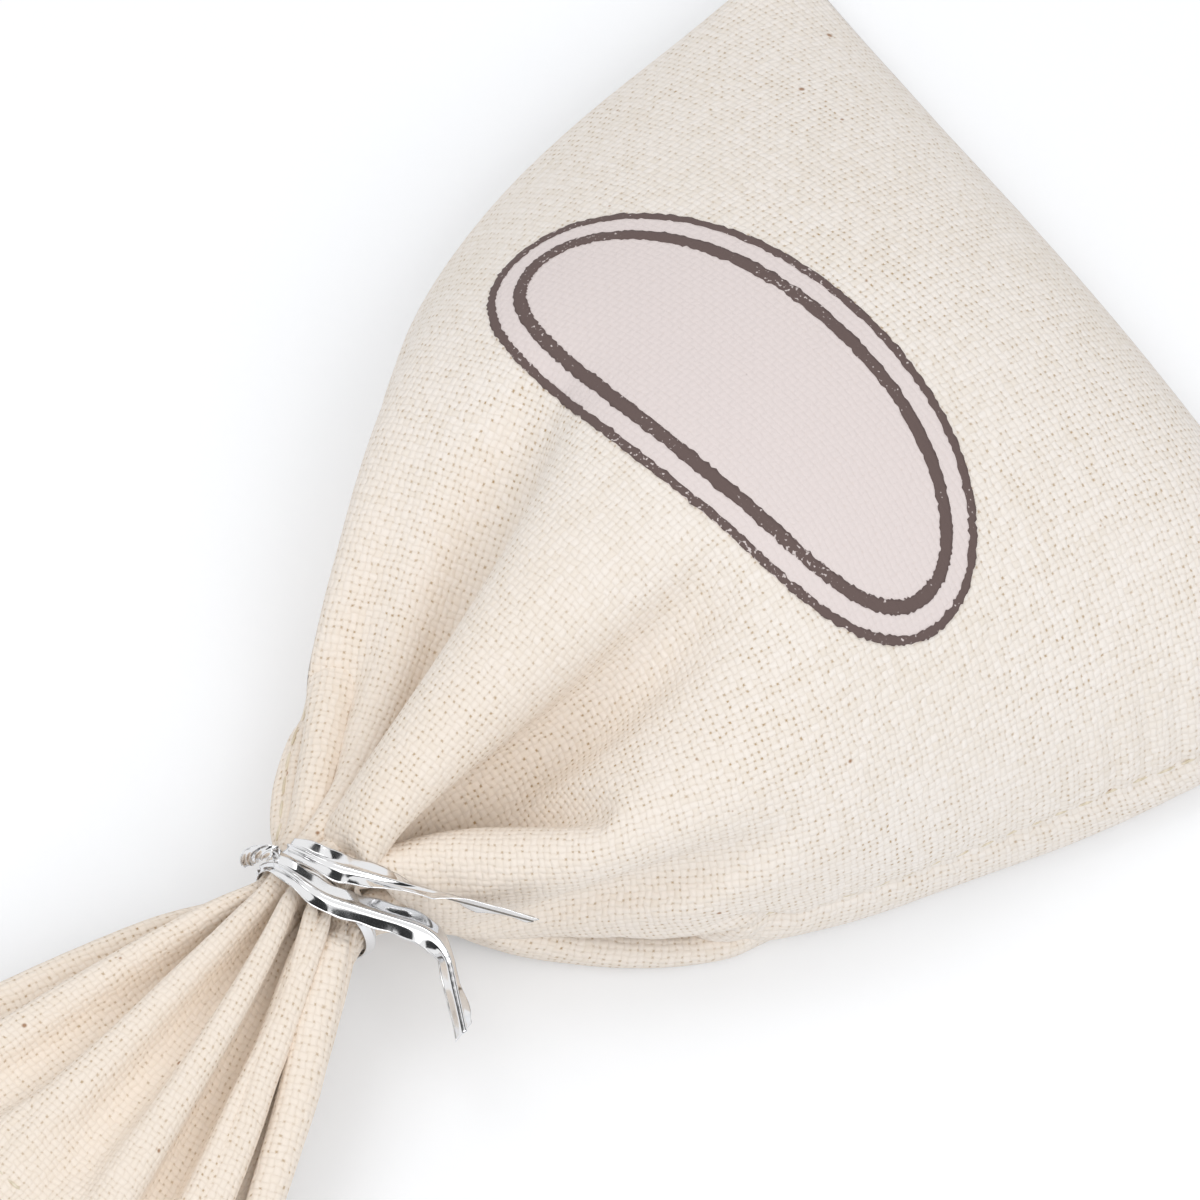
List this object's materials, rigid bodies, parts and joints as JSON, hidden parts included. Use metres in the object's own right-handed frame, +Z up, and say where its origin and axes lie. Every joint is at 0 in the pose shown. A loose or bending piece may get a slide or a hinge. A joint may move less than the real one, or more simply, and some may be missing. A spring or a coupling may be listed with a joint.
{
  "type": "lavender sachet",
  "caption": "Filled cotton bag of dried lavender lying on its back, its neck gathered by a foil twist tie into a ruffled collar, with a printed oval on the front.",
  "frame": {"origin": "on the floor, in the flat patch that the belly rests on", "axes": "+Y along the bag from the bottom fold to the mouth, +X to the right of the printed oval, +Z up from the floor"},
  "size_m": [0.101, 0.153, 0.0366],
  "materials": {
    "cotton": "unbleached plain-weave cotton",
    "thread": "cotton sewing thread",
    "flowers": "loose dried lavender buds",
    "film": "matt printing film in the weave",
    "ink": "matt brown-grey printing ink",
    "foil": "mirror metallised foil, creased",
    "wire": "drawn soft wire"
  },
  "bodies": {
    "bag": {"bag_cloth": "cotton", "mouth_hem": "cotton", "hem_thread": "thread", "seam_thread_right": "thread", "seam_thread_left": "thread", "lavender_filling": "flowers", "label_outer_line": "ink", "label_band": "film", "label_inner_line": "ink", "label_centre": "film", "tie_loop": "foil", "tie_loop_wire": "wire", "tie_twist_outer": "foil", "tie_twist_inner": "foil"},
    "straight_end": {"straight_tail": "foil", "straight_tail_wire": "wire"},
    "curled_end": {"curled_tail": "foil", "curled_tail_wire": "wire"}
  },
  "joints": [
    {"name": "straight_end_bend", "type": "hinge", "parent": "bag", "child": "straight_end", "pos_m": [0.00423, 0.05153, 0.01983], "axis": [-0.309, 0.9511, 0], "range_deg": [0, 90]},
    {"name": "curled_end_bend", "type": "hinge", "parent": "bag", "child": "curled_end", "pos_m": [0.00318, 0.05476, 0.01983], "axis": [-0.309, 0.9511, 0], "range_deg": [0, 90]}
  ]
}
